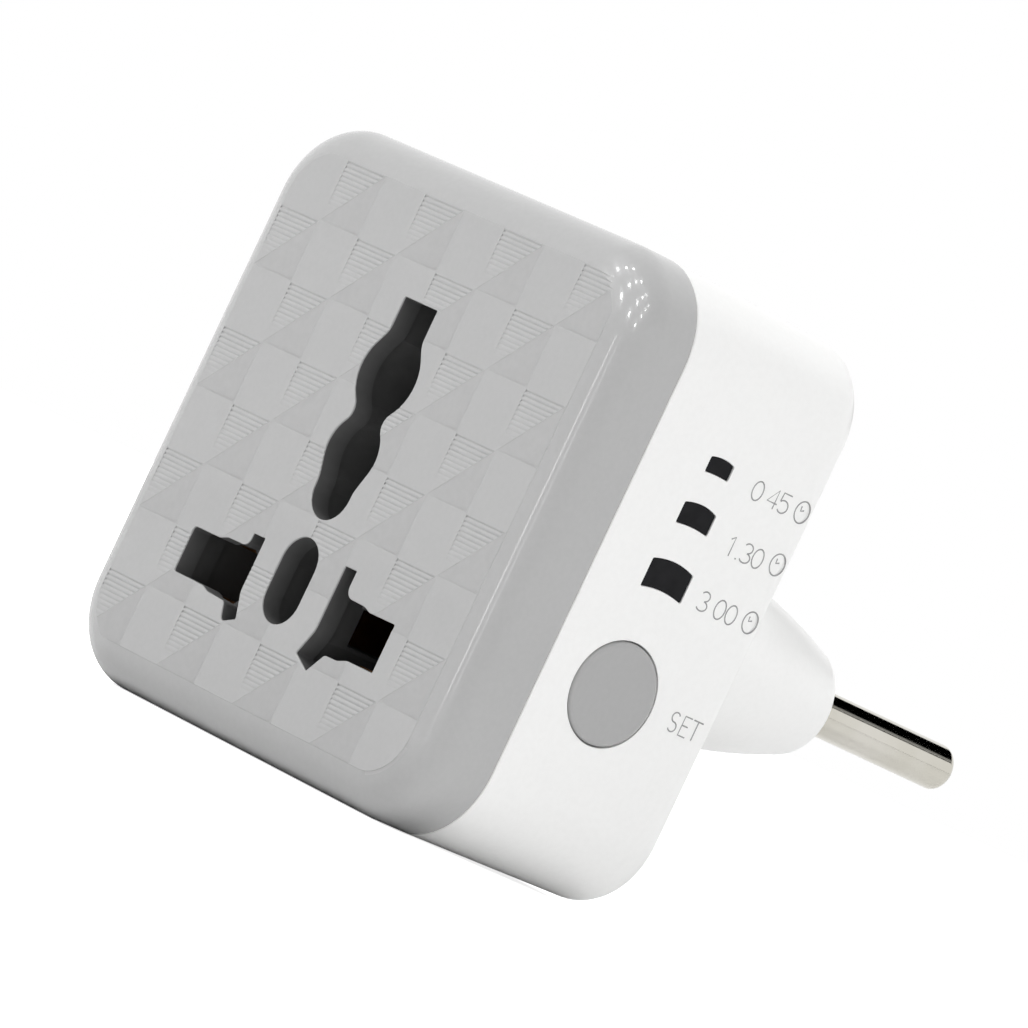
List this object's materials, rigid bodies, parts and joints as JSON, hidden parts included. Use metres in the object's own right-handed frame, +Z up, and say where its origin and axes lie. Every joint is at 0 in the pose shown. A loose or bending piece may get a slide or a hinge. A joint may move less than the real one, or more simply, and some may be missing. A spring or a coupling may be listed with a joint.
{
  "type": "plug in timer switch",
  "caption": "Square plug-in timer switch: grey multi-standard socket face, white rear case with round pins, push button and time windows on one side.",
  "frame": {"origin": "centre of the plug's end face, between the two pins", "axes": "+Y the way the pins point, +Z up, +X the side with the button; the socket faces -Y"},
  "size_m": [0.051, 0.0656, 0.0509],
  "materials": {
    "grey_abs": "moulded ABS, soft satin gloss",
    "white_abs": "moulded white ABS, satin",
    "black_pa": "moulded black polyamide",
    "plated_brass": "nickel plated brass",
    "bronze_strip": "phosphor bronze strip",
    "circuit_board": "glass epoxy board with green resist",
    "relay_blue": "sealed relay case",
    "film_yellow": "film capacitor case",
    "can_sleeve": "shrunk sleeve on an aluminium can",
    "resistor_coat": "flame proof lacquer",
    "moulded_epoxy": "moulded epoxy",
    "clear_led": "clear epoxy light",
    "button_grey": "moulded ABS, satin",
    "smoked_window": "smoked acrylic",
    "screw_steel": "zinc plated steel"
  },
  "bodies": {
    "case": {"front_shell": "grey_abs", "rear_housing": "white_abs", "case_screws": "screw_steel", "socket_insert": "black_pa", "line_contact": "bronze_strip", "neutral_contact": "bronze_strip", "line_pin": "plated_brass", "neutral_pin": "plated_brass", "line_strap": "bronze_strip", "neutral_strap": "bronze_strip", "main_board": "circuit_board", "relay": "relay_blue", "dropper_capacitor": "film_yellow", "smoothing_capacitor": "can_sleeve", "fusible_resistor": "resistor_coat", "rectifier_diodes": "moulded_epoxy", "controller_chip": "moulded_epoxy", "side_board": "circuit_board", "status_leds": "clear_led", "switch_body": "moulded_epoxy", "short_time_window": "smoked_window", "middle_time_window": "smoked_window", "long_time_window": "smoked_window"},
    "button": {"set_button": "button_grey"},
    "plunger": {"switch_plunger": "white_abs"}
  },
  "joints": [
    {"name": "set_press", "type": "slide", "parent": "case", "child": "button", "axis": [-1, 0, 0], "range_m": [0, 0.0003], "stiffness_N_per_m": 1000, "springref_m": -0.0006},
    {"name": "switch_press", "type": "slide", "parent": "case", "child": "plunger", "axis": [-1, 0, 0], "range_m": [0, 0.0004]}
  ],
  "couplings": [
    {"joint": "switch_press", "follows": "set_press", "ratio": 1}
  ]
}
